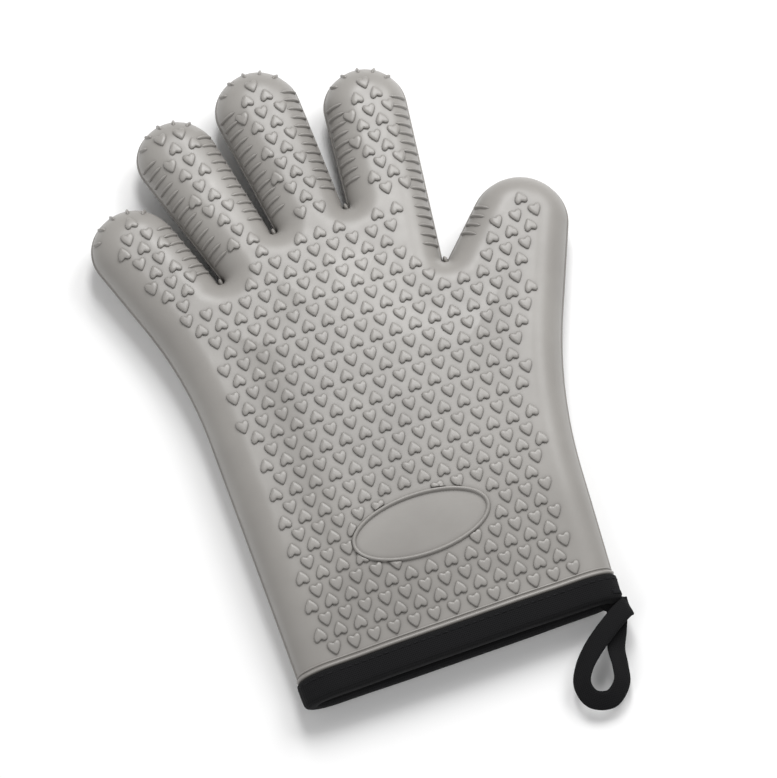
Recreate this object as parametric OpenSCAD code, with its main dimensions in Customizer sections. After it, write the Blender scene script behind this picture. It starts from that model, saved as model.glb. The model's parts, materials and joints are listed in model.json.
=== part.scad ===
// Five-finger oven glove: a moulded silicone shell over a fabric lining, with a bound cuff
// and a hanging loop. It lies flat with its palm side up.
// X runs across the glove with the thumb at +X, Y from the cuff to the fingertips, Z is up.
// The origin is on the floor under the middle of the palm.

/* [Hand] */
// Thickness of the glove through the palm and fingers
thickness = 26; // [24:0.5:28]
// Distance from the rest point back to the hem of the shell
hem_reach = 112; // [105:0.5:116]
// Height of the cuff's top face at the hem
cuff_top = 18; // [17:0.5:22]
// Height of the cuff's underside at the hem
cuff_floor = 2.4; // [2:0.1:3]
// Distance from the rest point back to where the cuff starts to flatten
flatten_start = 60; // [40:1:80]

/* [Walls] */
// Silicone wall of the shell
shell_wall = 2; // [1.2:0.1:2.2]
// Fabric lining
lining_wall = 1.5; // [1:0.1:1.6]
// Gap between two layers that touch on the real glove
layer_gap = 0.2; // [0.1:0.05:0.3]

/* [Cuff] */
// Width of the binding tape's leaf above the hem
binding_width = 10; // [8:0.5:14]
// Thickness of the binding tape
binding_wall = 1.2; // [0.8:0.1:1.4]
// Stitches per row of the binding seam
stitch_count = 28; // [10:1:36]
// Length of one stitch
stitch_length = 2.6; // [1.5:0.1:3]
// Thickness of the sewing thread
thread = 0.5; // [0.3:0.1:0.6]

/* [Hanging loop] */
// Width of the loop's tape
tape_width = 8; // [6:0.5:9]
// Thickness of the loop's tape
tape_wall = 1.2; // [0.8:0.1:1.6]
// Height of the loop's flat above the floor
loop_height = 9.5; // [8:0.5:11]

/* [Bending] */
// Farthest fold of the four knuckles together
knuckle_fold = 40; // [20:1:45]
// Farthest bend of a finger at its middle joint
finger_bend = 50; // [30:1:55]
// Bend of a fingertip for one degree at the middle joint
tip_ratio = 0.7; // [0.5:0.05:0.8]
// Farthest bend of the thumb
thumb_bend = 50; // [30:1:55]
// Gap between two segments across a bend line
bend_gap = 0.5; // [0.4:0.1:1]

/* [Hidden] */

// Fingers: centre of the tip's round, its radius, lean towards the thumb in degrees, and
// the distances from the tip's centre back to the middle joint and to the tip joint
index = [[34, 126], 17, 7.1, 32.5, 8];
middle = [[-9, 139.5], 17.5, -3.6, 42, 15];
ring = [[-48, 130], 16.5, -13, 39, 14];
little = [[-78, 96.5], 17.5, -18, 24, 3];
thumb = [[76.5, 54.5], 19.5, 35.2, 13, 0];
four_fingers = [index, middle, ring, little];

// The line the four knuckles fold on: a point on it, and its slant towards the little finger
knuckle_point = [-18, 53.2];
knuckle_slant = -5;

// Middles of the small rounds at the bottoms of the gaps between the fingers
gap_round = 1.5;
index_thumb_gap = [41, 48.5];
middle_index_gap = [10.5, 85];
ring_middle_gap = [-21.5, 84.5];
little_ring_gap = [-49.5, 70.5];

// Rounds of the outline, clockwise from the cuff: centre and radius, less than 0 for a hollow
rounds = [
    [[-61, -170], 15],
    [[-256, 5.4], -180],
    [little[0], little[1]],
    [little_ring_gap, -gap_round],
    [ring[0], ring[1]],
    [ring_middle_gap, -gap_round],
    [middle[0], middle[1]],
    [middle_index_gap, -gap_round],
    [index[0], index[1]],
    [index_thumb_gap, -gap_round],
    [thumb[0], thumb[1]],
    [[269.6, -75.8], -210],
    [[35, -170], 15]
];
arc_step = 18;
edge_steps = 6;

mid_height = thickness / 2;
lining_inset = shell_wall + layer_gap;
hand_inset = lining_inset + lining_wall;
top_slope = (thickness - cuff_top) / (hem_reach - flatten_start);
floor_slope = cuff_floor / (hem_reach - flatten_start);
far = 400;
bend_clearance = 2;
finger_margin = 0.6;
thumb_half_width = 27;

silicone = "#8e8a85";
fabric = "#6d6d70";
tape = "#202022";
sewing_thread = "#333336";

// --- Outline ---

function unit(v) = v / norm(v);
function turned_left(v) = [-v.y, v.x];
function heading(v) = atan2(v.y, v.x);
function turn(a) = a - 360 * floor(a / 360);

// Outward normal of the straight side that touches two rounds
function side_normal(a, b) =
    let (d = b[0] - a[0], s = (a[1] - b[1]) / norm(d))
    s * unit(d) + sqrt(1 - s * s) * turned_left(unit(d));

// Points of one round between its two sides, each with its outward normal
function round_points(before, this, after, inset) =
    let (
        start = heading(side_normal(before, this)),
        end = heading(side_normal(this, after)),
        sweep = this[1] > 0 ? -turn(start - end) : turn(end - start),
        steps = max(1, ceil(abs(sweep) / arc_step))
    )
    [
        for (k = [0:steps])
            let (a = start + sweep * k / steps, n = [cos(a), sin(a)])
            [this[0] + (this[1] - inset) * n, n]
    ];

function outline(path, inset) =
    let (n = len(path))
    [
        for (i = [0:n - 1])
            each round_points(path[(i + n - 1) % n], path[i], path[(i + 1) % n], inset)
    ];

// --- Solids that the layers are cut from ---

// The outline as a cushion whose edge is one half round from bottom to top
module pillow(inset) {
    edge = outline(rounds, inset);
    count = len(edge);
    r = mid_height - inset;
    points = [
        for (k = [0:edge_steps])
            let (a = -90 + 180 * k / edge_steps)
            for (e = edge)
                let (p = e[0] - r * (1 - cos(a)) * e[1])
                [p.x, p.y, mid_height + r * sin(a)]
    ];
    sides = [
        for (k = [0:edge_steps - 1])
            for (i = [0:count - 1])
                let (j = (i + 1) % count, low = k * count, high = low + count)
                each [[low + i, low + j, high + j], [low + i, high + j, high + i]]
    ];
    bottom = [for (i = [0:count - 1]) count - 1 - i];
    top = [for (i = [0:count - 1]) edge_steps * count + i];
    polyhedron(points, concat([bottom, top], sides), convexity = 12);
}

// Everything between the planes that flatten the cuff towards its hem
module flattened(inset) {
    front = hem_reach + 60;
    back = 200;
    start = flatten_start;
    rotate([90, 0, 90])
        linear_extrude(far, center = true)
            polygon([
                [-front, inset + floor_slope * (front - start)],
                [back, inset - floor_slope * (back + start)],
                [back, thickness - inset + top_slope * (back + start)],
                [-front, thickness - inset - top_slope * (front - start)]
            ]);
}

module glove_form(inset) {
    intersection() {
        pillow(inset);
        flattened(inset);
    }
}

// The band of the glove between two distances along Y
module across(low, high) {
    translate([-far / 2, low, -far / 2])
        cube([far, high - low, far]);
}

// --- Bend lines ---

function finger_axis(f) = [sin(f[2]), cos(f[2])];
function middle_joint(f) = [f[0] - f[3] * finger_axis(f), f[2], finger_bend];
function tip_joint(f) = [f[0] - f[4] * finger_axis(f), f[2], finger_bend * tip_ratio];
function fold_joint() = [knuckle_point, knuckle_slant, knuckle_fold];
function thumb_joint() = [thumb[0] - thumb[3] * finger_axis(thumb), thumb[2], thumb_bend];

// All that lies past one face of a bend line; above mid height the face leans by half the bend
module past_face(joint, side) {
    lean = tan(joint[2] / 2 + bend_clearance) * far / 2;
    start = side * bend_gap / 2;
    translate([joint[0].x, joint[0].y, mid_height])
        rotate([0, 0, -joint[1]])
            rotate([90, 0, 90])
                linear_extrude(far, center = true)
                    polygon([
                        [start, -far / 2],
                        [start, 0],
                        [start + side * lean, far / 2],
                        [far, far / 2],
                        [far, -far / 2]
                    ]);
}

module beyond(joint) {
    past_face(joint, 1);
}

module cut_before(joint) {
    past_face(joint, -1);
}

// A straight slot of space around one finger
module finger_space(f, half_width) {
    translate([f[0].x, f[0].y, -far / 2])
        rotate([0, 0, -f[2]])
            translate([-half_width, -50, 0])
                cube([2 * half_width, 90, far]);
}

// The space of the four fingers, bounded by the gap at the thumb
module four_finger_space() {
    g = index_thumb_gap;
    translate([0, 0, -far / 2])
        linear_extrude(far)
            polygon([[-far / 2, g.y - 15], [g.x, g.y - 15], g, g + [80, 200], [-far / 2, far]]);
}

// A soft piece kept as one closed mesh at its own size
module soft_piece(shade) {
    color(shade)
        resize([0, 0, 0])
            children();
}

// --- Segments of a layer ---

module layer(outer) {
    inner = outer + (outer > 0 ? lining_wall : shell_wall);
    difference() {
        glove_form(outer);
        glove_form(inner);
    }
}

module palm_segment(outer) {
    difference() {
        intersection() {
            layer(outer);
            across(-hem_reach, far);
        }
        intersection() {
            four_finger_space();
            cut_before(fold_joint());
        }
        intersection() {
            finger_space(thumb, thumb_half_width);
            cut_before(thumb_joint());
        }
    }
}

module knuckle_segment(outer) {
    difference() {
        intersection() {
            layer(outer);
            four_finger_space();
            beyond(fold_joint());
        }
        for (f = four_fingers)
            intersection() {
                finger_space(f, f[1] + finger_margin);
                cut_before(middle_joint(f));
            }
    }
}

module finger_segment(f, outer) {
    difference() {
        intersection() {
            layer(outer);
            finger_space(f, f[1] + finger_margin);
            beyond(middle_joint(f));
        }
        cut_before(tip_joint(f));
    }
}

module tip_segment(f, outer) {
    intersection() {
        layer(outer);
        finger_space(f, f[1] + finger_margin);
        beyond(tip_joint(f));
    }
}

module thumb_segment(outer) {
    intersection() {
        layer(outer);
        finger_space(thumb, thumb_half_width);
        beyond(thumb_joint());
    }
}

// --- Silicone shell ---

module palm_shell() {
    soft_piece(silicone) palm_segment(0);
}

module knuckle_shell() {
    soft_piece(silicone) knuckle_segment(0);
}

module thumb_shell() {
    soft_piece(silicone) thumb_segment(0);
}

module finger_shell(f) {
    soft_piece(silicone) finger_segment(f, 0);
}

module tip_shell(f) {
    soft_piece(silicone) tip_segment(f, 0);
}

// --- Fabric lining ---

module palm_lining() {
    soft_piece(fabric) palm_segment(lining_inset);
}

module knuckle_lining() {
    soft_piece(fabric) knuckle_segment(lining_inset);
}

module thumb_lining() {
    soft_piece(fabric) thumb_segment(lining_inset);
}

module finger_lining(f) {
    soft_piece(fabric) finger_segment(f, lining_inset);
}

module tip_lining(f) {
    soft_piece(fabric) tip_segment(f, lining_inset);
}

// --- Cuff ---

// The binding tape folded over the hem, outside the shell and inside the lining
module cuff_binding() {
    edge = hem_reach + layer_gap + binding_wall;
    soft_piece(tape)
        difference() {
            intersection() {
                glove_form(-layer_gap - binding_wall);
                across(-edge, -edge + binding_width + binding_wall);
            }
            difference() {
                intersection() {
                    glove_form(-layer_gap);
                    across(-hem_reach - layer_gap, 0);
                }
                glove_form(hand_inset + layer_gap);
            }
            glove_form(hand_inset + layer_gap + binding_wall);
        }
}

// Rows of stitches that hold the binding, above and below
module binding_stitches() {
    row_y = -hem_reach + binding_width - 3.5;
    left = -60;
    pitch = 100 / (stitch_count - 1);
    slack = layer_gap + binding_wall;
    top = thickness + slack - top_slope * (-row_y - flatten_start);
    bottom = -slack + floor_slope * (-row_y - flatten_start);
    color(sewing_thread)
        for (z = [top + 0.05, bottom - thread - 0.05])
            for (i = [0:stitch_count - 1])
                translate([left + i * pitch, row_y, z])
                    cube([stitch_length, thread, thread]);
}

// --- Hanging loop ---

tab_x = 56.9;
tab_back = -109;
tab_front = -120;
loop_rounds = [[[50.5, -125.5], 4], [[37.5, -138.5], 11]];
eye_rounds = [[[42.5, -133], 1.5], [[37.5, -139], 4.2]];

module loop_plan(path) {
    polygon([for (p = outline(path, 0)) p[0]]);
}

// The tape's open loop, with a neck that reaches towards the sewn tab
module hanging_loop() {
    neck_end = tab_front - 1.2;
    color(tape)
        translate([0, 0, loop_height]) {
            linear_extrude(tape_wall)
                difference() {
                    loop_plan(loop_rounds);
                    loop_plan(eye_rounds);
                }
            translate([49, neck_end - 6, 0])
                cube([tab_x + 2 * tape_wall - 49, 6, tape_wall]);
        }
}

// Both ends of the tape, stacked and sewn to the side of the binding
module loop_tab() {
    color(tape)
        translate([tab_x, tab_front, loop_height - tape_width / 2 + 0.5])
            cube([2 * tape_wall, tab_back - tab_front, tape_width]);
}

// Bar tack: a bundle of stitches across the tab
module loop_tack() {
    color(sewing_thread)
        for (i = [0:3])
            translate([tab_x + 2 * tape_wall, tab_back - 2 - 2 * i, loop_height - 2])
                cube([thread, thread, 5]);
}

palm_shell();
knuckle_shell();
thumb_shell();
finger_shell(index);  // index_shell
finger_shell(middle);  // middle_shell
finger_shell(ring);  // ring_shell
finger_shell(little);  // little_shell
tip_shell(index);  // index_tip_shell
tip_shell(middle);  // middle_tip_shell
tip_shell(ring);  // ring_tip_shell
tip_shell(little);  // little_tip_shell
palm_lining();
knuckle_lining();
thumb_lining();
finger_lining(index);  // index_lining
finger_lining(middle);  // middle_lining
finger_lining(ring);  // ring_lining
finger_lining(little);  // little_lining
tip_lining(index);  // index_tip_lining
tip_lining(middle);  // middle_tip_lining
tip_lining(ring);  // ring_tip_lining
tip_lining(little);  // little_tip_lining
cuff_binding();
binding_stitches();
hanging_loop();
loop_tab();
loop_tack();
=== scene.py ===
"""Looks of the five-finger silicone oven glove.

The glove lies flat on a pale floor with its palm side up. Lengths in this script are millimetres
until a mesh is made, in the frame's own axes: X towards the thumb, Y towards the fingertips, Z up.
"""
import json
import math

import bpy
import numpy as np
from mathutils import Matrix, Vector


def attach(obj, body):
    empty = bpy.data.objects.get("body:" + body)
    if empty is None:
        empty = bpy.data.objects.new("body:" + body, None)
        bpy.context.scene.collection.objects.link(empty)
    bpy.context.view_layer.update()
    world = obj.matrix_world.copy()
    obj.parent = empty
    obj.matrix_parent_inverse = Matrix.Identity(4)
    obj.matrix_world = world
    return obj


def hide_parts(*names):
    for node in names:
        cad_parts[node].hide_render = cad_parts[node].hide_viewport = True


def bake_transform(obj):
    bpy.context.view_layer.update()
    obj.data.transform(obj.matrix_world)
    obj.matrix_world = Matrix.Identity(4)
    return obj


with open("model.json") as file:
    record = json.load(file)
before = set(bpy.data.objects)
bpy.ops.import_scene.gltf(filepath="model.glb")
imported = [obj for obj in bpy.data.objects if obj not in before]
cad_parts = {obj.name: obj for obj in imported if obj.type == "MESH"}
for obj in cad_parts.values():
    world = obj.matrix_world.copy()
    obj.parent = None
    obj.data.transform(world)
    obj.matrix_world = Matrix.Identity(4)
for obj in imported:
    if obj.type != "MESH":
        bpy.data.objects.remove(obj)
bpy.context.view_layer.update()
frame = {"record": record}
MM = 0.001

# ---------------------------------------------------------------- driving sizes

MID_HEIGHT = 13.0       # height of the parting line
EDGE_ROUND = 13.0       # how far in from the outline the side has turned into the flat
LINING_INSET = 3.6      # inner face of the lining
CROWN = 1.3             # swell of the broad palm over the fingers' thickness
SKIN_FLOOR = 1.05       # the smooth skin stays this far off the floor, on its raised hearts
SKIN_TOP = 25.3
HEM_Y = -112.0
FLATTEN_Y = -60.0       # the cuff flattens from here to its hem
CUFF_TOP = 18.0
CUFF_FLOOR = 2.4
SHELL_VOXEL = 1.3
LINING_VOXEL = 2.2
GRID_LOW = np.array([-101.0, HEM_Y - 6.0, -1.5])
GRID_HIGH = np.array([101.0, 161.0, 28.0])

# Tips of the fingers: middle of the round, its radius, lean towards the thumb in degrees
FINGERS = {
    "index": ((34.0, 126.0), 17.0, 7.1),
    "middle": ((-9.0, 139.5), 17.5, -3.6),
    "ring": ((-48.0, 130.0), 16.5, -13.0),
    "little": ((-78.0, 96.5), 17.5, -18.0),
    "thumb": ((76.5, 54.5), 19.5, 35.2),
}
GAP_ROUND = 1.5
GAPS = {
    "little_ring": (-49.5, 70.5),
    "ring_middle": (-21.5, 84.5),
    "middle_index": (10.5, 85.0),
    "index_thumb": (41.0, 48.5),
}

# Length over which the skin bends at each joint
BEND_LENGTH = {
    "knuckle_fold": 22.5, "thumb_bend": 26.0,
    "index_bend": 24.0, "middle_bend": 26.0, "ring_bend": 24.0, "little_bend": 20.0,
    "index_tip_bend": 22.0, "middle_tip_bend": 24.0, "ring_tip_bend": 24.0, "little_tip_bend": 20.0,
}

# Heart pattern: pitch along a row, two rows' height, and the slight turn and slope of the whole
HEART_PITCH = 8.38
HEART_PERIOD = 12.87
HEART_WIDTH = 5.4
HEART_LENGTH = 5.6
HEART_RISE = 0.95
CUFF_PERIOD = 12.0      # the same over the tapering cuff
PATTERN_TURN = math.radians(-0.6)
PATTERN_START = (-5.8, -35.9)
PATTERN_SLOPE = 0.035
PALM_ROWS = (-6, 12)
FINGER_ROWS = (-5, 5)
HEART_COLUMNS = 16      # columns on each side of a pattern's start
HEART_SPACING = 6.6     # hearts of two patterns stay this far apart
HEARTS_FROM_Y = -100.5

# Hearts on each finger: a place in its pattern, the pattern's slope, and where along Y it begins
FINGER_HEARTS = {
    "index": ((33.5, 119.5), 0.155, 70.0),
    "middle": ((-9.0, 121.0), 0.0, 74.0),
    "ring": ((-44.3, 110.5), 0.0, 66.0),
    "little": ((-80.0, 97.5), -0.10, 52.0),
}
# How far back from the tip's middle, below 0, each finger keeps the palm's pattern off
FINGER_OWNS_FROM = {"index": -47.0, "middle": -58.0, "ring": -56.0, "little": -37.0}

# Plain band between the outline and the first hearts
FINGER_MARGIN = 8.2
GAP_MARGIN = 10.5
THUMB_MARGIN = 11.5
SIDE_MARGIN = 13.2
GAP_REACH = 16.0
THUMB_CORNER = (50.0, 45.0)

RIB_PITCH = 4.3
RIB_WIDTH = 1.5
RIB_RISE = 0.95
RIB_GAP_CLEARANCE = 5.0
# How far back from the tip's middle, below 0, the ribs of each finger begin, and where they end
RIBS_FROM = {"index": -78, "middle": -58, "ring": -62, "little": -40, "thumb": -34}
RIBS_TO = 2.0
NUB_TURNS = (-52, -26, 0, 26, 52)   # degrees off the finger's own direction

OVAL_MIDDLE = np.array([-9.5, -60.2])
OVAL_HALF = np.array([28.2, 12.3])
OVAL_RIM = 1.9

JOINTS = {j["name"]: j for j in frame["record"]["behaviour"]["joints"]}


# ---------------------------------------------------------------- outline of the hand

def unit(v):
    return v / np.linalg.norm(v)


def finger_axis(name):
    lean = math.radians(FINGERS[name][2])
    return np.array([math.sin(lean), math.cos(lean)])


def hand_rounds():
    """Rounds of the outline, clockwise from the cuff: middle and radius, below 0 for a hollow."""
    tip = {name: (np.array(f[0]), f[1]) for name, f in FINGERS.items()}
    gap = {name: (np.array(p), -GAP_ROUND) for name, p in GAPS.items()}
    return [
        (np.array([-61.0, -170.0]), 15.0),
        (np.array([-256.0, 5.4]), -180.0),
        tip["little"], gap["little_ring"], tip["ring"], gap["ring_middle"],
        tip["middle"], gap["middle_index"], tip["index"], gap["index_thumb"],
        tip["thumb"],
        (np.array([269.6, -75.8]), -210.0),
        (np.array([35.0, -170.0]), 15.0),
    ]


def side_normal(a, b):
    """Outward normal of the straight side that touches two rounds."""
    d = b[0] - a[0]
    s = (a[1] - b[1]) / np.linalg.norm(d)
    d = unit(d)
    return s * d + math.sqrt(1 - s * s) * np.array([-d[1], d[0]])


def outline_parts():
    """The outline as arcs (middle, radius, first normal's angle, turn) and sides (ends, normal)."""
    rounds = hand_rounds()
    count = len(rounds)
    arcs, sides = [], []
    for i, this in enumerate(rounds):
        after = rounds[(i + 1) % count]
        first = side_normal(rounds[i - 1], this)
        last = side_normal(this, after)
        a0 = math.atan2(first[1], first[0])
        a1 = math.atan2(last[1], last[0])
        turn = -((a0 - a1) % (2 * math.pi)) if this[1] > 0 else (a1 - a0) % (2 * math.pi)
        arcs.append((this[0], this[1], a0, turn))
        sides.append((this[0] + this[1] * last, after[0] + after[1] * last, last))
    return arcs, sides


ARCS, SIDES = outline_parts()


def outline_points(step=2.0):
    """Points and outward normals all round the outline."""
    points, normals = [], []
    for (centre, radius, first, turn), (start, stop, normal) in zip(ARCS, SIDES):
        count = max(2, math.ceil(abs(turn * radius) / step), math.ceil(abs(turn) / 0.1))
        for k in range(count):
            a = first + turn * k / count
            n = np.array([math.cos(a), math.sin(a)])
            points.append(centre + radius * n)
            normals.append(n)
        count = max(1, math.ceil(np.linalg.norm(stop - start) / step))
        for k in range(count):
            points.append(start + (stop - start) * k / count)
            normals.append(normal)
    return np.array(points), np.array(normals)


EDGE, EDGE_NORMALS = outline_points()


def depth_and_way(points):
    """Distance in from the outline, below 0 outside it, and the direction straight inwards."""
    best = np.full(len(points), 1e9)
    depth = np.zeros(len(points))
    way = np.zeros((len(points), 2))
    for centre, radius, first, turn in ARCS:
        rel = points - centre
        away = np.maximum(np.linalg.norm(rel, axis=1), 1e-9)
        side = math.copysign(1.0, radius)
        n = side * rel / away[:, None]
        swing = ((np.arctan2(n[:, 1], n[:, 0]) - first) * math.copysign(1.0, turn)) % (2 * math.pi)
        here = side * (abs(radius) - away)
        take = (swing <= abs(turn) + 1e-6) & (np.abs(here) < best)
        best[take] = np.abs(here[take])
        depth[take] = here[take]
        way[take] = -n[take]
    for start, stop, normal in SIDES:
        ahead = unit(stop - start)
        run = (points - start) @ ahead
        here = -((points - start) @ normal)
        take = (run >= 0) & (run <= np.linalg.norm(stop - start)) & (np.abs(here) < best)
        best[take] = np.abs(here[take])
        depth[take] = here[take]
        way[take] = -normal
    return depth, way


def depth_inside(points):
    return depth_and_way(points)[0]


# ---------------------------------------------------------------- the rounded hand as a surface

def ramp(y):
    """0 in the palm, growing evenly towards the cuff's hem from where it starts to flatten."""
    t = (FLATTEN_Y - y) / 12.0
    return 12.0 * np.logaddexp(0, t) / (FLATTEN_Y - HEM_Y)


def middle_and_half(y):
    """Height of the parting line and half the skin's thickness, along the glove."""
    top = SKIN_TOP - (SKIN_TOP - CUFF_TOP) * ramp(y)
    floor = SKIN_FLOOR + (CUFF_FLOOR - SKIN_FLOOR) * ramp(y)
    return (top + floor) / 2, (top - floor) / 2


def swell(s):
    """Share of the full half thickness that the broad parts reach."""
    return (MID_HEIGHT - CROWN * np.exp(-(np.maximum(s - EDGE_ROUND, 0) / 20.0) ** 4)) / MID_HEIGHT


def surface_height(points, side=1):
    """Height of the outer surface above (side 1) or below (side -1) each point."""
    depth = depth_inside(points)
    middle, half = middle_and_half(points[:, 1])
    t = 1 - np.clip(depth / EDGE_ROUND, 0, 1)
    return middle + side * (half * swell(depth)) * np.sqrt(np.maximum(1 - t ** 2, 0))


def field(points, inset, depth):
    """Below 0 inside the rounded hand, 0 on its surface, for points of known depth."""
    s = depth - inset
    middle, half = middle_and_half(points[:, 1])
    edge = EDGE_ROUND - inset
    across = np.maximum(edge - s, 0) / edge
    up = (points[:, 2] - middle) / (half * swell(depth) - inset)
    return (np.sqrt(across ** 2 + up ** 2) - 1) * edge


def field_and_gradient(points, inset):
    """The field at each point and the direction in which it grows."""
    depth, way = depth_and_way(points[:, :2])
    step = 0.02
    inwards = (field(points, inset, depth + step) - field(points, inset, depth - step)) / (2 * step)
    out = np.column_stack([inwards[:, None] * way, np.zeros(len(points))])
    for axis in (1, 2):
        shift = np.zeros(3)
        shift[axis] = step
        ahead = field(points + shift, inset, depth)
        back = field(points - shift, inset, depth)
        out[:, axis] += (ahead - back) / (2 * step)
    return field(points, inset, depth), out


def grid_values(inset, voxel):
    """The field on a grid round the whole glove."""
    count = np.ceil((GRID_HIGH - GRID_LOW) / voxel).astype(int) + 1
    xs, ys, zs = (GRID_LOW[i] + voxel * np.arange(count[i]) for i in range(3))
    gx, gy = np.meshgrid(xs, ys, indexing="ij")
    flat = np.stack([gx.ravel(), gy.ravel()], 1)
    depth = depth_inside(flat)
    values = np.empty(count)
    for k, z in enumerate(zs):
        layer = np.column_stack([flat, np.full(len(flat), z)])
        values[:, :, k] = field(layer, inset, depth).reshape(count[0], count[1])
    return values


def at_corner(values, corner):
    """The values that all grid cells have at one of their corners."""
    return values[tuple(slice(c, n - 1 + c) for c, n in zip(corner, values.shape))]


def cell_points(values):
    """A place, in grid steps, in each cell that the surface crosses, and each cell's index."""
    shape = tuple(n - 1 for n in values.shape)
    total = np.zeros(shape + (3,))
    hits = np.zeros(shape)
    corners = [(i, j, k) for i in (0, 1) for j in (0, 1) for k in (0, 1)]
    edges = [(corner, axis) for corner in corners for axis in range(3) if not corner[axis]]
    for corner, axis in edges:
        far = tuple(1 if i == axis else corner[i] for i in range(3))
        here, there = at_corner(values, corner), at_corner(values, far)
        cross = (here < 0) != (there < 0)
        t = np.where(cross, here / np.where(cross, here - there, 1), 0)
        for i in range(3):
            at = corner[i] + (t if i == axis else 0)
            total[..., i] += np.where(cross, at, 0)
        hits += cross
    live = hits > 0
    index = np.zeros(shape, int)
    index[live] = np.arange(live.sum())
    return np.argwhere(live) + total[live] / hits[live][:, None], index


def crossing_quads(inside, index):
    """A quad between the four cells round each grid edge that the surface crosses."""
    count = inside.shape
    quads = []
    for axis in range(3):
        u, v = (axis + 1) % 3, (axis + 2) % 3
        low = [slice(None)] * 3
        low[axis] = slice(None, -1)
        high = [slice(None)] * 3
        high[axis] = slice(1, None)
        at = np.argwhere(inside[tuple(low)] != inside[tuple(high)])
        ok = (at[:, u] > 0) & (at[:, v] > 0) & (at[:, u] < count[u] - 1) & (at[:, v] < count[v] - 1)
        at = at[ok]
        leaving = inside[tuple(low)][tuple(at.T)]
        ring = []
        for du, dv in ((-1, -1), (0, -1), (0, 0), (-1, 0)):
            cell = at.copy()
            cell[:, u] += du
            cell[:, v] += dv
            ring.append(index[tuple(cell.T)])
        quad = np.stack(ring, 1)
        quad[~leaving] = quad[~leaving][:, ::-1]
        quads.append(quad)
    return np.concatenate(quads)


def settle(points, inset):
    """The points moved onto the exact surface, and its outward normals there."""
    for _ in range(2):
        value, slope = field_and_gradient(points, inset)
        steep = np.maximum((slope ** 2).sum(1), 0.2)
        points = points - (np.clip(value, -1.5, 1.5) / steep)[:, None] * slope
    _, slope = field_and_gradient(points, inset)
    return points, slope / np.maximum(np.linalg.norm(slope, axis=1), 1e-9)[:, None]


def net_surface(inset, voxel):
    """Quad mesh of the surface, one vertex in each grid cell that it crosses."""
    values = grid_values(inset, voxel)
    cells, index = cell_points(values)
    points, normals = settle(GRID_LOW + voxel * cells, inset)
    return points, crossing_quads(values < 0, index), normals


# ---------------------------------------------------------------- which piece a place belongs to

def joint_frame(name):
    """A hinge's place on the floor plane and the direction that its far side lies in."""
    j = JOINTS[name]
    axis = j["axis"]
    return np.array(j["pos_m"][:2]) / MM, unit(np.array([-axis[1], axis[0]]))


def along(points, name):
    at, ahead = joint_frame(name)
    return (points - at) @ ahead


def finger_place(points, finger):
    """Distance ahead of the middle of a finger's tip, and to the right of the finger's axis."""
    ahead = finger_axis(finger)
    rel = points - np.array(FINGERS[finger][0])
    return rel @ ahead, rel @ np.array([ahead[1], -ahead[0]])


def near_finger(points, finger, margin):
    return np.abs(finger_place(points, finger)[1]) < FINGERS[finger][1] + margin


def nearest_gap(p):
    return min(np.linalg.norm(p - np.array(g)) for g in GAPS.values())


PIECE_NAMES = ["palm", "thumb"] + [f + part for f in ("index", "middle", "ring", "little")
                                   for part in ("", "_tip")]


def piece_of(points):
    """Index into PIECE_NAMES of the skin piece that holds each place."""
    out = np.zeros(len(points), int)
    thumb = near_finger(points, "thumb", 7.5)
    thumb &= along(points, "thumb_bend") > -BEND_LENGTH["thumb_bend"] / 2
    out[thumb] = 1
    for i, f in enumerate(("index", "middle", "ring", "little")):
        reach = BEND_LENGTH[f + "_bend"] / 2
        lon = along(points, f + "_bend")
        mine = near_finger(points, f, 2.0) & (lon > -reach)
        out[mine & (lon <= reach)] = 2 + 2 * i
        out[mine & (lon > reach)] = 3 + 2 * i
    return out


# ---------------------------------------------------------------- mesh building

class Patch:
    """Vertices and faces gathered for one piece, in millimetres."""

    def __init__(self):
        self.points, self.faces, self.normals = [], [], []
        self.count = 0

    def add(self, points, faces, normals=None):
        points = np.asarray(points, float)
        self.points.append(points)
        self.normals.append(np.zeros_like(points) if normals is None else normals)
        self.faces.extend([tuple(int(i) + self.count for i in f) for f in faces])
        self.count += len(points)

    def build(self, name, material):
        mesh = bpy.data.meshes.new(name)
        points = np.concatenate(self.points)
        mesh.from_pydata((points * MM).tolist(), [], self.faces)
        mesh.materials.append(material)
        mesh.polygons.foreach_set("use_smooth", [True] * len(self.faces))
        mesh.update()
        given = np.concatenate(self.normals)
        if np.any(given):
            own = np.empty(len(points) * 3)
            mesh.vertex_normals.foreach_get("vector", own)
            own = own.reshape(-1, 3)
            none = ~np.any(given, axis=1)
            given[none] = own[none]
            mesh.normals_split_custom_set_from_vertices(given.tolist())
        obj = bpy.data.objects.new(name, mesh)
        bpy.context.scene.collection.objects.link(obj)
        return obj


def ring_faces(rings, count):
    """Quads that join closed rings of points, one ring after the other."""
    faces = []
    for k in range(rings - 1):
        for i in range(count):
            j = (i + 1) % count
            faces.append((k * count + i, k * count + j, (k + 1) * count + j, (k + 1) * count + i))
    return faces


def ring_cap(ring, count):
    return tuple(ring * count + i for i in range(count))


def closed_tube(rings, count):
    """Faces of a tube through rings of points, with both of its ends closed."""
    return ring_faces(rings, count) + [ring_cap(0, count)[::-1], ring_cap(rings - 1, count)]


def flipped(faces):
    return [f[::-1] for f in faces]


def split_surface(inset, voxel, patches):
    """The surface at one inset, shared out between the pieces of the glove."""
    points, faces, normals = net_surface(inset, voxel)
    middle = points[faces].mean(1)
    keep = middle[:, 1] > HEM_Y + 1.0
    faces, middle = faces[keep], middle[keep]
    owner = piece_of(middle[:, :2])
    if inset:
        faces, normals = faces[:, ::-1], -normals
    for i in range(len(PIECE_NAMES)):
        mine = faces[owner == i]
        used, back = np.unique(mine, return_inverse=True)
        patches[i].add(points[used], back.reshape(mine.shape), normals[used])


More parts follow.
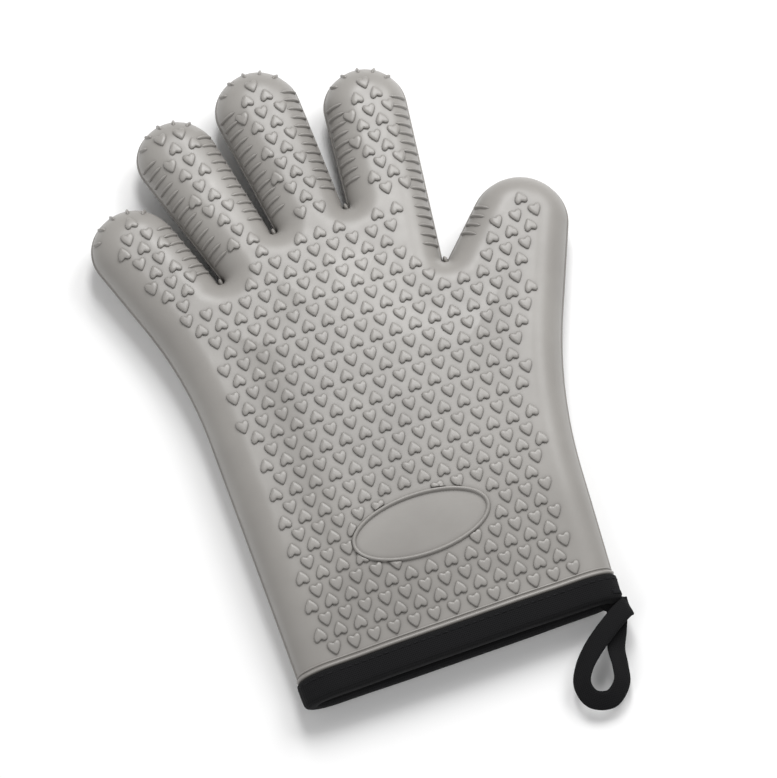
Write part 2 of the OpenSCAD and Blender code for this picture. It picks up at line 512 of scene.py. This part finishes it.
def surface_normal(points, side):
    step = 0.3
    gx = surface_height(points + [step, 0], side) - surface_height(points - [step, 0], side)
    gy = surface_height(points + [0, step], side) - surface_height(points - [0, step], side)
    n = np.column_stack([-gx, -gy, np.full(len(points), 2 * step)]) * side
    return n / np.linalg.norm(n, axis=1)[:, None]


# ---------------------------------------------------------------- hearts

def heart_outline(count=20):
    """A plump heart, point at -Y, one unit wide and one unit long, about its middle of area."""
    t = np.linspace(0, 2 * math.pi, count, endpoint=False)
    x = 0.52 * np.sin(t) ** 3 + 0.48 * np.sin(t)
    y = 13 * np.cos(t) - 4.4 * np.cos(2 * t) - 1.3 * np.cos(3 * t) - 0.5 * np.cos(4 * t)
    x = x / (x.max() - x.min())
    y = y / (y.max() - y.min())
    cross = x * np.roll(y, -1) - np.roll(x, -1) * y
    middle = ((y + np.roll(y, -1)) * cross).sum() / (3 * cross.sum())
    return np.column_stack([x, y - middle])


HEART = heart_outline()
# Rings of a heart from its foot to its crown: share of the outline's size, share of the rise
HEART_RINGS = [(1.02, -0.3), (1.0, 0.3), (0.94, 0.74), (0.78, 0.98), (0.42, 1.07)]


def heart_places(start, rows, turn, slope):
    """Staggered rows of hearts: place, and whether the point is turned to the fingertips."""
    c, s = math.cos(turn), math.sin(turn)
    spin = np.array([[c, -s], [s, c]])
    places = []
    for row in range(*rows):
        for half in (0, 1):
            y = (row + half / 2) * (HEART_PERIOD if row >= 0 else CUFF_PERIOD)
            for column in range(-HEART_COLUMNS, HEART_COLUMNS + 1):
                x = (column + half / 2) * HEART_PITCH + slope * y
                places.append((np.array(start) + spin @ np.array([x, y]), bool(half)))
    return places


def pattern_owner(p):
    """The finger whose own pattern covers a place, or None on the palm and the thumb."""
    for finger, first in FINGER_OWNS_FROM.items():
        if near_finger(p[None], finger, 1.0)[0] and finger_place(p, finger)[0] > first:
            return finger
    return None


def all_hearts():
    """Every heart's place: one pattern on each finger, and one on the palm and the thumb."""
    wanted = []
    for finger, (start, slope, first_y) in FINGER_HEARTS.items():
        for p, flip in heart_places(start, FINGER_ROWS, 0.0, slope):
            if p[1] > first_y and pattern_owner(p) == finger:
                wanted.append((p, flip, FINGER_MARGIN))
    for p, flip in heart_places(PATTERN_START, PALM_ROWS, PATTERN_TURN, PATTERN_SLOPE):
        if pattern_owner(p) is None:
            wanted.append((p, flip, smooth_margin(p)))
    depths = depth_inside(np.array([p for p, _, _ in wanted]))
    places = []
    for (p, flip, margin), depth in zip(wanted, depths):
        clear = all(np.linalg.norm(p - q) > HEART_SPACING for q, _ in places)
        if depth > margin and clear and oval_share(p) > 1 and p[1] > HEARTS_FROM_Y:
            places.append((p, flip))
    return places


def oval_share(points):
    """Below 1 inside the outer edge of the oval panel's rim."""
    return np.linalg.norm((points - OVAL_MIDDLE) / (OVAL_HALF + OVAL_RIM / 2), axis=-1)


def cut_at_oval(points):
    """Points inside the oval panel, moved straight out to its rim."""
    share = np.maximum(oval_share(points), 0.2)[..., None]
    return np.where(share < 1, OVAL_MIDDLE + (points - OVAL_MIDDLE) / share, points)


def smooth_margin(p):
    """Width of the plain band at the edge: wide down the two outer sides, narrow elsewhere."""
    if nearest_gap(p) < GAP_REACH:
        return GAP_MARGIN
    if p[0] > THUMB_CORNER[0] and p[1] > THUMB_CORNER[1]:
        return THUMB_MARGIN
    return SIDE_MARGIN


def add_hearts(patches, side):
    places = all_hearts()
    centres = np.array([p for p, _ in places])
    owners = piece_of(centres)
    count = len(HEART)
    local = np.concatenate([HEART * [HEART_WIDTH, HEART_LENGTH] * size for size, _ in HEART_RINGS])
    rise = np.concatenate([np.full(count, r * HEART_RISE) for _, r in HEART_RINGS])
    faces = ring_faces(len(HEART_RINGS), count) + [ring_cap(len(HEART_RINGS) - 1, count)]
    if side > 0:
        faces = flipped(faces)
    flips = np.array([[1, -1] if flip else [1, 1] for _, flip in places])
    flat = centres[:, None, :] + local[None] * flips[:, None, :]
    if side > 0:
        flat = cut_at_oval(flat)
    heights = surface_height(flat.reshape(-1, 2), side).reshape(flat.shape[:2])
    ups = surface_normal(centres, side)
    for at, height, up, (_, flip), owner in zip(flat, heights, ups, places, owners):
        turned = flipped(faces) if flip else faces
        patches[owner].add(np.column_stack([at, height]) + rise[:, None] * up, turned)


# ---------------------------------------------------------------- raised lines

def raised_line(path, ups, width, height, closed=False):
    """A rounded ridge along a path on the surface, tapered at open ends: points and faces."""
    path = np.asarray(path, float)
    ups = np.asarray(ups, float)
    ahead = np.gradient(path, axis=0) if not closed else np.roll(path, -1, 0) - np.roll(path, 1, 0)
    ahead /= np.linalg.norm(ahead, axis=1)[:, None]
    aside = np.cross(ahead, ups)
    aside /= np.linalg.norm(aside, axis=1)[:, None]
    section = [(-0.62, -0.3), (-0.46, 0.25), (-0.25, 0.82), (0.0, 1.0), (0.25, 0.82), (0.46, 0.25),
               (0.62, -0.3)]
    n = len(path)
    fade = np.ones(n)
    if not closed:
        t = np.linspace(0, 1, n)
        fade = np.sqrt(np.clip(np.minimum(t, 1 - t) * 7, 0.02, 1))
    points = []
    for u, v in section:
        points.append(path + (u * width * fade)[:, None] * aside
                      + (v * height * (fade if v > 0 else np.ones(n)))[:, None] * ups)
    points = np.concatenate(points)
    faces = []
    last = n if closed else n - 1
    for k in range(len(section) - 1):
        for i in range(last):
            j = (i + 1) % n
            faces.append((k * n + i, (k + 1) * n + i, (k + 1) * n + j, k * n + j))
    return points, faces


def side_path(foot, normal, side, start, stop, count=9):
    """A path up the rounded side of the glove, from near the parting line to its shoulder."""
    angles = np.radians(np.linspace(start, stop, count))
    flat = foot - normal * (EDGE_ROUND * (1 - np.cos(angles)))[:, None]
    height = surface_height(flat - normal * 0.02, side)
    path = np.column_stack([flat, height])
    ups = np.column_stack([normal[None] * np.cos(angles)[:, None], side * np.sin(angles)])
    return path, ups


def on_grip_side(p):
    """Whether a place on the outline lies on a side of a finger that carries ribs."""
    for finger, (_, radius, _) in FINGERS.items():
        lon, lat = finger_place(p, finger)
        bare = (finger == "little" and lat < 0) or (finger == "thumb" and lat > 0)
        if abs(abs(lat) - radius) < 3.0 and not bare and RIBS_FROM[finger] < lon < RIBS_TO:
            return True
    return False


def rib_feet():
    """Evenly spaced feet of the grip ribs round the sides of the fingers and inside the thumb."""
    step = np.linalg.norm(np.roll(EDGE, -1, 0) - EDGE, axis=1)
    run = np.concatenate([[0], np.cumsum(step)])
    spots = np.arange(0, run[-2], RIB_PITCH)
    xs = np.interp(spots, run[:-1], EDGE[:, 0])
    ys = np.interp(spots, run[:-1], EDGE[:, 1])
    nx = np.interp(spots, run[:-1], EDGE_NORMALS[:, 0])
    ny = np.interp(spots, run[:-1], EDGE_NORMALS[:, 1])
    feet = []
    for x, y, a, b in zip(xs, ys, nx, ny):
        foot, normal = np.array([x, y]), unit(np.array([a, b]))
        if nearest_gap(foot) > RIB_GAP_CLEARANCE and on_grip_side(foot):
            feet.append((foot, normal))
    return feet


def add_ribs(patches, side):
    for foot, normal in rib_feet():
        owner = piece_of((foot - normal)[None])[0]
        path, ups = side_path(foot, normal, side, 14, 62)
        points, faces = raised_line(path, ups, RIB_WIDTH, RIB_RISE)
        if side < 0:
            faces = flipped(faces)
        patches[owner].add(points, faces)


def add_tip_nubs(patches, side):
    """Short nubs that run over the end of each finger."""
    for finger, (middle, radius, _) in FINGERS.items():
        if finger == "thumb":
            continue
        ahead = finger_axis(finger)
        for turn in NUB_TURNS:
            a = math.radians(turn)
            n = np.array([ahead[0] * math.cos(a) + ahead[1] * math.sin(a),
                          ahead[1] * math.cos(a) - ahead[0] * math.sin(a)])
            foot = np.array(middle) + radius * n
            owner = piece_of((foot - n)[None])[0]
            path, ups = side_path(foot, n, side, 22, 48, 7)
            points, faces = raised_line(path, ups, RIB_WIDTH, RIB_RISE)
            if side < 0:
                faces = flipped(faces)
            patches[owner].add(points, faces)


def add_parting_line(patches):
    """The thin flash that the mould leaves round the outline at mid height."""
    inside = EDGE[:, 1] > HEM_Y + 2
    n = len(EDGE)
    for i in range(n):
        j = (i + 1) % n
        if not (inside[i] and inside[j]):
            continue
        owner = piece_of(((EDGE[i] + EDGE[j]) / 2 - EDGE_NORMALS[i] * 0.5)[None])[0]
        corners = []
        for k in (i, j):
            middle = middle_and_half(EDGE[k:k + 1, 1])[0][0]
            for out, up in ((-0.5, -0.75), (0.35, -0.22), (0.62, 0.0), (0.35, 0.22), (-0.5, 0.75)):
                p = EDGE[k] + EDGE_NORMALS[k] * out
                corners.append((p[0], p[1], middle + up))
        faces = [(k, k + 1, k + 6, k + 5) for k in range(4)]
        patches[owner].add(corners, faces)


def add_oval(patches):
    """The rounded rim of the plain oval panel on the palm."""
    t = np.linspace(0, 2 * math.pi, 140, endpoint=False)
    flat = OVAL_MIDDLE + OVAL_HALF * np.column_stack([np.cos(t), np.sin(t)])
    path = np.column_stack([flat, surface_height(flat)])
    points, faces = raised_line(path, surface_normal(flat, 1), OVAL_RIM, 1.25, closed=True)
    patches[0].add(points, flipped(faces))


def add_gap_nibs(patches):
    """A small web of silicone at the bottom of each gap between fingers."""
    for x, y in GAPS.values():
        foot = np.array([x, y - GAP_ROUND])
        count, rings = 14, 6
        points, faces = [], []
        for r in range(rings + 1):
            a = math.pi * r / rings
            for i in range(count):
                b = 2 * math.pi * i / count
                points.append((foot[0] + 1.1 * math.sin(a) * math.cos(b),
                               foot[1] + 0.6 + 2.4 * math.sin(a) * math.sin(b),
                               MID_HEIGHT + 1.6 + 1.9 * math.cos(a)))
        for r in range(rings):
            for i in range(count):
                j = (i + 1) % count
                faces.append((r * count + i, (r + 1) * count + i, (r + 1) * count + j, r * count + j))
        patches[0].add(points, faces)


def edge_x(y, side):
    """X of the outline's left (side -1) or right (side 1) edge, for a place behind the fingers."""
    edge = EDGE[(EDGE[:, 0] * side > 0) & (EDGE[:, 1] < 0)]
    edge = edge[np.argsort(edge[:, 1])]
    return np.interp(y, edge[:, 1], edge[:, 0])


def section_ring(y, inset, count_round=20, count_flat=40):
    """The glove's cross-section at one distance along it: points and outward normals."""
    xl, xr = edge_x(y, -1), edge_x(y, 1)
    middle, half = (v[0] for v in middle_and_half(np.array([y])))
    r = EDGE_ROUND - inset
    points, normals = [], []
    for k in range(count_round):
        a = math.pi / 2 + math.pi * k / count_round
        reach = half * swell(EDGE_ROUND * (1 + math.cos(a))) - inset
        points.append((xl + EDGE_ROUND + r * math.cos(a), y, middle + reach * math.sin(a)))
        normals.append((math.cos(a), 0, math.sin(a)))
    span = np.linspace(xl + EDGE_ROUND, xr - EDGE_ROUND, count_flat, endpoint=False)
    for x in span:
        s = min(x - xl, xr - x)
        points.append((x, y, middle - half * swell(s) + inset))
        normals.append((0, 0, -1))
    for k in range(count_round):
        a = -math.pi / 2 + math.pi * k / count_round
        reach = half * swell(EDGE_ROUND * (1 - math.cos(a))) - inset
        points.append((xr - EDGE_ROUND + r * math.cos(a), y, middle + reach * math.sin(a)))
        normals.append((math.cos(a), 0, math.sin(a)))
    for x in span[::-1] + (span[1] - span[0]):
        s = min(x - xl, xr - x)
        points.append((x, y, middle + half * swell(s) - inset))
        normals.append((0, 0, 1))
    return np.array(points), np.array(normals)


def add_hem_bead(patches):
    """The moulded bead just above the binding, with a finer one beside it."""
    for y, width, height in ((-101.7, 1.9, 1.15), (-99.9, 0.9, 0.35)):
        points, normals = section_ring(y, 0.0)
        bead, faces = raised_line(points, normals, width, height, closed=True)
        patches[0].add(bead, faces)


# ---------------------------------------------------------------- materials

def new_material(name, colour, roughness):
    m = bpy.data.materials.new(name)
    m.use_nodes = True
    shader = m.node_tree.nodes["Principled BSDF"]
    shader.inputs["Base Color"].default_value = (*colour, 1)
    shader.inputs["Roughness"].default_value = roughness
    return m, m.node_tree, shader


def noise(tree, scale, detail=3.0, stretch=None):
    place = tree.nodes.new("ShaderNodeTexCoord")
    node = tree.nodes.new("ShaderNodeTexNoise")
    node.inputs["Scale"].default_value = scale
    node.inputs["Detail"].default_value = detail
    if stretch:
        spread = tree.nodes.new("ShaderNodeMapping")
        spread.inputs["Scale"].default_value = stretch
        tree.links.new(place.outputs["Object"], spread.inputs["Vector"])
        tree.links.new(spread.outputs["Vector"], node.inputs["Vector"])
    else:
        tree.links.new(place.outputs["Object"], node.inputs["Vector"])
    return node


def mix_colours(tree, factor, low, high, start=0.3, stop=0.7):
    ramp_node = tree.nodes.new("ShaderNodeValToRGB")
    ramp_node.color_ramp.elements[0].position = start
    ramp_node.color_ramp.elements[0].color = (*low, 1)
    ramp_node.color_ramp.elements[1].position = stop
    ramp_node.color_ramp.elements[1].color = (*high, 1)
    tree.links.new(factor, ramp_node.inputs["Fac"])
    return ramp_node.outputs["Color"]


def spread_values(tree, value, low, high):
    node = tree.nodes.new("ShaderNodeMapRange")
    node.inputs["To Min"].default_value = low
    node.inputs["To Max"].default_value = high
    tree.links.new(value, node.inputs["Value"])
    return node.outputs["Result"]


def bump(tree, shader, height, strength, distance):
    node = tree.nodes.new("ShaderNodeBump")
    node.inputs["Strength"].default_value = strength
    node.inputs["Distance"].default_value = distance
    tree.links.new(height, node.inputs["Height"])
    tree.links.new(node.outputs["Normal"], shader.inputs["Normal"])


def silicone_material():
    """Satin grey silicone: cloudy tone, painted shade that darkens the creases, a fine grain."""
    m, tree, shader = new_material("silicone", (0.30, 0.29, 0.275), 0.4)
    cloud = noise(tree, 26.0, 4.0)
    tone = mix_colours(tree, cloud.outputs["Fac"], (0.250, 0.238, 0.224), (0.302, 0.289, 0.272))
    # Painted shade: an ambient-occlusion mask multiplies the base colour darker in the creases and
    # the grooves round the raised details.
    painted_crease_shade = tree.nodes.new("ShaderNodeAmbientOcclusion")
    painted_crease_shade.inputs["Distance"].default_value = 0.0022
    painted_crease_shade.samples = 8
    depth = mix_colours(tree, painted_crease_shade.outputs["AO"], (0.46, 0.45, 0.44), (1.0, 1.0, 1.0), 0.35, 0.95)
    join = tree.nodes.new("ShaderNodeMix")
    join.data_type = "RGBA"
    join.blend_type = "MULTIPLY"
    join.inputs["Factor"].default_value = 1.0
    tree.links.new(tone, join.inputs["A"])
    tree.links.new(depth, join.inputs["B"])
    tree.links.new(join.outputs["Result"], shader.inputs["Base Color"])
    dust = noise(tree, 160.0, 5.0)
    tree.links.new(spread_values(tree, dust.outputs["Fac"], 0.30, 0.46), shader.inputs["Roughness"])
    grain = noise(tree, 1400.0, 3.0)
    bump(tree, shader, grain.outputs["Fac"], 0.10, 0.0002)
    shader.inputs["Specular IOR Level"].default_value = 0.5
    return m


def weave(tree, scale):
    """Over-and-under weave height from two crossed wave patterns."""
    place = tree.nodes.new("ShaderNodeTexCoord")
    waves = []
    for direction in ("X", "Y"):
        w = tree.nodes.new("ShaderNodeTexWave")
        w.bands_direction = direction
        w.inputs["Scale"].default_value = scale
        w.inputs["Distortion"].default_value = 0.6
        w.inputs["Detail"].default_value = 1.0
        tree.links.new(place.outputs["Object"], w.inputs["Vector"])
        waves.append(w.outputs["Fac"])
    join = tree.nodes.new("ShaderNodeMath")
    join.operation = "MAXIMUM"
    tree.links.new(waves[0], join.inputs[0])
    tree.links.new(waves[1], join.inputs[1])
    return join.outputs["Value"]


TAPE_BLACK = (0.0052, 0.0052, 0.0056)


def tape_material(name):
    """Black woven tape, nearly without sheen."""
    m, tree, shader = new_material(name, TAPE_BLACK, 0.85)
    threads = weave(tree, 420.0)
    lighter = tuple(c * 2.1 for c in TAPE_BLACK)
    darker = tuple(c * 0.6 for c in TAPE_BLACK)
    colour = mix_colours(tree, threads, darker, lighter, 0.1, 0.95)
    tree.links.new(colour, shader.inputs["Base Color"])
    bump(tree, shader, threads, 0.5, 0.0003)
    shader.inputs["Sheen Weight"].default_value = 0.02
    shader.inputs["Specular IOR Level"].default_value = 0.12
    return m


def lining_material():
    m, tree, shader = new_material("lining_fabric", (0.12, 0.12, 0.125), 0.95)
    knit = weave(tree, 260.0)
    colour = mix_colours(tree, knit, (0.075, 0.075, 0.08), (0.17, 0.17, 0.175), 0.1, 0.9)
    tree.links.new(colour, shader.inputs["Base Color"])
    bump(tree, shader, knit, 0.6, 0.0004)
    shader.inputs["Sheen Weight"].default_value = 0.3
    return m


def thread_material():
    m, tree, shader = new_material("sewing_thread", (0.014, 0.014, 0.015), 0.7)
    twist = noise(tree, 900.0, 2.0, (1, 1, 4))
    colour = mix_colours(tree, twist.outputs["Fac"], (0.009, 0.009, 0.010), (0.022, 0.022, 0.024))
    tree.links.new(colour, shader.inputs["Base Color"])
    bump(tree, shader, twist.outputs["Fac"], 0.5, 0.0002)
    shader.inputs["Specular IOR Level"].default_value = 0.1
    return m


# ---------------------------------------------------------------- cuff binding, stitches, loop

BINDING_TOP = -102.9
TAPE = 1.2
OUTER_RINGS = 9         # sections of the binding from its outer edge to the start of its fold
SEAM_Y = BINDING_TOP - 2.0
STITCH_PITCH = 3.1
STITCH_LENGTH = 2.2
STITCH_RADIUS = 0.26
TACK_Y = -110.5


def binding_profile():
    """Section of the folded tape: distance along Y and height off the shell's outer face."""
    outer = TAPE + 0.25
    inner = -(LINING_INSET + TAPE + 0.3)
    fold = (outer - inner) / 2
    middle = (outer + inner) / 2
    path = [(BINDING_TOP, 0.1), (BINDING_TOP - 0.05, outer * 0.7), (BINDING_TOP - 0.6, outer)]
    path += [(y, outer + 0.12 * math.sin((BINDING_TOP - y) / 9 * math.pi))
             for y in np.linspace(BINDING_TOP - 2, HEM_Y + 1.2, 5)]
    for a in np.linspace(90, -90, 11):
        rad = math.radians(a)
        path.append((HEM_Y + 0.4 - 1.9 * math.cos(rad), middle + fold * math.sin(rad)))
    path += [(y, inner) for y in np.linspace(HEM_Y + 1.2, BINDING_TOP - 0.6, 4)]
    path.append((BINDING_TOP - 0.05, inner * 0.88))
    path.append((BINDING_TOP, -LINING_INSET + 0.1))
    return path


def cuff_binding(material):
    """The folded tape all round the hem, slightly puckered on its outside."""
    profile = binding_profile()
    rings = []
    for y, off in profile:
        points, normals = section_ring(y, 0.0)
        rings.append(section_ring(y, -off)[0] if off < 0 else points + normals * off)
    count = len(rings[0])
    pucker = 0.10 * np.sin(np.arange(count) * 1.7) * np.sin(np.arange(count) * 0.37 + 1.0)
    for k in range(OUTER_RINGS):
        rings[k] = rings[k] + section_ring(profile[k][0], 0.0)[1] * pucker[:, None]
    patch = Patch()
    patch.add(np.concatenate(rings), flipped(ring_faces(len(rings), count)))
    return patch.build("cuff_binding_tape", material)


def capsule(start, end, radius, count=8):
    """A short thread with rounded ends."""
    start, end = np.asarray(start, float), np.asarray(end, float)
    ahead = unit(end - start)
    aside = unit(np.cross(ahead, [0.3, 0.2, 0.93]))
    up = np.cross(ahead, aside)
    stations = [(0.0, 0.15), (0.08, 0.75), (0.2, 1.0), (0.8, 1.0), (0.92, 0.75), (1.0, 0.15)]
    points = []
    for t, size in stations:
        for i in range(count):
            a = 2 * math.pi * i / count
            points.append(start + (end - start) * t
                          + radius * size * (math.cos(a) * aside + math.sin(a) * up))
    return np.array(points), closed_tube(len(stations), count)


def binding_stitches(material):
    """One row of short stitches all round the tape, close to its upper edge."""
    points, normals = section_ring(SEAM_Y, 0.0, 60, 160)
    step = np.linalg.norm(np.roll(points, -1, 0) - points, axis=1)
    run = np.concatenate([[0], np.cumsum(step)])
    closed_points = np.vstack([points, points[:1]])
    closed_normals = np.vstack([normals, normals[:1]])
    lift = TAPE + 0.38
    patch = Patch()

    def at(d):
        p = np.array([np.interp(d, run, closed_points[:, i]) for i in range(3)])
        n = unit(np.array([np.interp(d, run, closed_normals[:, i]) for i in range(3)]))
        return p, n

    for k in range(int(run[-1] / STITCH_PITCH)):
        (p, a), (q, b) = at(k * STITCH_PITCH), at(k * STITCH_PITCH + STITCH_LENGTH)
        patch.add(*capsule(p + a * lift, q + b * lift, STITCH_RADIUS))
    return patch.build("binding_seam", material)


# The loop's tape from its sewn end, round and back, with the direction of its width
LOOP_ROUTE = [
    ((53.2, -112.2, 9.6), (1.0, 0.05, 0.1)),
    ((52.6, -118.0, 9.4), (1.0, 0.1, 0.0)),
    ((50.2, -124.0, 9.2), (0.95, 0.3, -0.1)),
    ((47.2, -131.0, 9.0), (0.93, 0.2, -0.35)),
    ((46.2, -138.0, 8.6), (0.86, 0.0, -0.5)),
    ((44.3, -144.6, 7.6), (0.72, -0.42, -0.55)),
    ((38.2, -149.2, 7.0), (0.1, -0.83, -0.55)),
    ((31.3, -147.0, 7.2), (-0.62, -0.55, -0.55)),
    ((29.2, -140.6, 8.2), (-0.82, 0.1, -0.55)),
    ((32.0, -134.6, 10.0), (-0.75, 0.45, -0.45)),
    ((37.6, -129.2, 12.2), (-0.62, 0.75, -0.2)),
    ((44.5, -124.4, 13.6), (-0.55, 0.83, 0.0)),
    ((51.5, -120.0, 13.6), (-0.45, 0.89, 0.0)),
    ((56.4, -117.4, 12.6), (-0.25, 0.97, 0.0)),
    ((57.8, -116.6, 10.4), (-0.1, 1.0, 0.0)),
    ((56.2, -115.2, 8.2), (0.35, 0.93, 0.0)),
    ((52.6, -112.6, 7.9), (0.55, 0.84, 0.0)),
    ((49.4, -109.8, 8.1), (0.6, 0.8, 0.0)),
]
LOOP_WIDTH = 8.0


def smooth_through(values, per_step):
    """Points of a Catmull-Rom curve through a list."""
    v = np.asarray(values, float)
    v = np.vstack([2 * v[0] - v[1], v, 2 * v[-1] - v[-2]])
    out = []
    for i in range(1, len(v) - 2):
        for k in range(per_step):
            t = k / per_step
            a, b, c, d = v[i - 1:i + 3]
            out.append(0.5 * (2 * b + (c - a) * t + (2 * a - 5 * b + 4 * c - d) * t * t
                              + (3 * b - a - 3 * c + d) * t ** 3))
    out.append(v[-2])
    return np.array(out)


def hanging_loop(material):
    """Flat tape along the loop's route, turned to the widths given there."""
    centre = smooth_through([p for p, _ in LOOP_ROUTE], 8)
    wide = smooth_through([w for _, w in LOOP_ROUTE], 8)
    ahead = np.gradient(centre, axis=0)
    ahead /= np.linalg.norm(ahead, axis=1)[:, None]
    wide -= (wide * ahead).sum(1)[:, None] * ahead
    wide /= np.linalg.norm(wide, axis=1)[:, None]
    face = np.cross(ahead, wide)
    half, thin = LOOP_WIDTH / 2, TAPE / 2
    section = [(-1, 0), (-0.93, 0.7), (-0.6, 1), (0, 1.06), (0.6, 1), (0.93, 0.7),
               (1, 0), (0.93, -0.7), (0.6, -1), (0, -1.06), (-0.6, -1), (-0.93, -0.7)]
    points = []
    for c, w, f in zip(centre, wide, face):
        points += [c + w * half * u + f * thin * v for u, v in section]
    patch = Patch()
    patch.add(points, closed_tube(len(centre), len(section)))
    return patch.build("hanging_loop_tape", material)


def loop_bar_tack(material):
    """Close stitches on the right end of the binding, where the loop is sewn on."""
    outer, normals = section_ring(TACK_Y, -TAPE - 0.4, 60)
    patch = Patch()
    for p, n in zip(outer, normals):
        if n[0] > 0.72:
            patch.add(*capsule(p + [0, -0.9, 0], p + [0, 0.9, 0.3], 0.24))
    return patch.build("loop_bar_tack", material)


# ---------------------------------------------------------------- putting the glove together

def bend_piece(obj):
    """Bakes the piece's transform into its mesh."""
    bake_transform(obj)


def layer_nodes(piece, kind):
    if piece == "palm":
        return ["palm_" + kind, "knuckle_" + kind]
    return [piece + "_" + kind]


def finish_layer(patches, kind, material):
    for name, patch in zip(PIECE_NAMES, patches):
        obj = patch.build(name + "_" + kind + "_skin", material)
        bend_piece(obj)
        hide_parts(*layer_nodes(name, kind))


silicone = silicone_material()
lining = lining_material()
tape = tape_material("binding_tape")
thread = thread_material()

shell = [Patch() for _ in PIECE_NAMES]
split_surface(0.0, SHELL_VOXEL, shell)
for face_side in (1, -1):
    add_hearts(shell, face_side)
    add_ribs(shell, face_side)
    add_tip_nubs(shell, face_side)
add_parting_line(shell)
add_oval(shell)
add_gap_nibs(shell)
add_hem_bead(shell)
finish_layer(shell, "shell", silicone)

inner = [Patch() for _ in PIECE_NAMES]
split_surface(LINING_INSET, LINING_VOXEL, inner)
finish_layer(inner, "lining", lining)

binding = cuff_binding(tape)
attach(binding, "palm")
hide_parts("cuff_binding")

seam = binding_stitches(thread)
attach(seam, "palm")
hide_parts("binding_stitches")

loop = hanging_loop(tape_material("loop_tape"))
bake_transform(loop)
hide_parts("hanging_loop", "loop_tab")

tack = loop_bar_tack(thread)
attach(tack, "palm")
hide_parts("loop_tack")


# ---------------------------------------------------------------- floor, light and camera

def floor():
    mesh = bpy.data.meshes.new("floor")
    size = 3.0
    mesh.from_pydata([(-size, -size, 0), (size, -size, 0), (size, size, 0), (-size, size, 0)],
                     [], [(0, 1, 2, 3)])
    m, _, shader = new_material("floor", (0.92, 0.92, 0.92), 0.65)
    shader.inputs["Specular IOR Level"].default_value = 0.1
    mesh.materials.append(m)
    obj = bpy.data.objects.new("floor", mesh)
    bpy.context.scene.collection.objects.link(obj)


def area_light(name, place, size, power):
    """A soft box that faces the glove."""
    data = bpy.data.lights.new(name, "AREA")
    data.shape = "RECTANGLE"
    data.size, data.size_y = size
    data.energy = power
    obj = bpy.data.objects.new(name, data)
    bpy.context.scene.collection.objects.link(obj)
    obj.location = place
    obj.rotation_euler = (-Vector(place)).to_track_quat("-Z", "Y").to_euler()


def sky(strength):
    world = bpy.data.worlds.new("studio")
    world.use_nodes = True
    back = world.node_tree.nodes["Background"]
    back.inputs["Color"].default_value = (1, 1, 1, 1)
    back.inputs["Strength"].default_value = strength
    bpy.context.scene.world = world


VIEW_TURN = 20.0        # the glove's length lies this many degrees off the view's upright
VIEW_HEIGHT = 68.0
VIEW_DISTANCE = 1.5
LENS = 170.0


def camera():
    data = bpy.data.cameras.new("camera")
    data.sensor_width = 36.0
    data.lens = LENS
    data.clip_end = 20
    obj = bpy.data.objects.new("camera", data)
    bpy.context.scene.collection.objects.link(obj)
    turn, height = math.radians(VIEW_TURN), math.radians(VIEW_HEIGHT)
    look = Vector((math.cos(height) * math.sin(turn), math.cos(height) * math.cos(turn),
                   -math.sin(height)))
    aim = Vector((0.0, 0.004, 0.010))
    obj.location = aim - VIEW_DISTANCE * look
    obj.rotation_euler = look.to_track_quat("-Z", "Y").to_euler()
    bpy.context.scene.camera = obj


floor()
camera()
sky(0.36)
area_light("overhead_strip", (0.17, 0.50, 0.76), (0.24, 0.5), 4.9)
area_light("side_box", (0.70, 0.42, 0.85), (0.5, 0.5), 6.6)
area_light("front_fill", (-0.8, -0.6, 0.8), (0.5, 1.0), 4.0)
bpy.context.scene.view_settings.view_transform = "Standard"
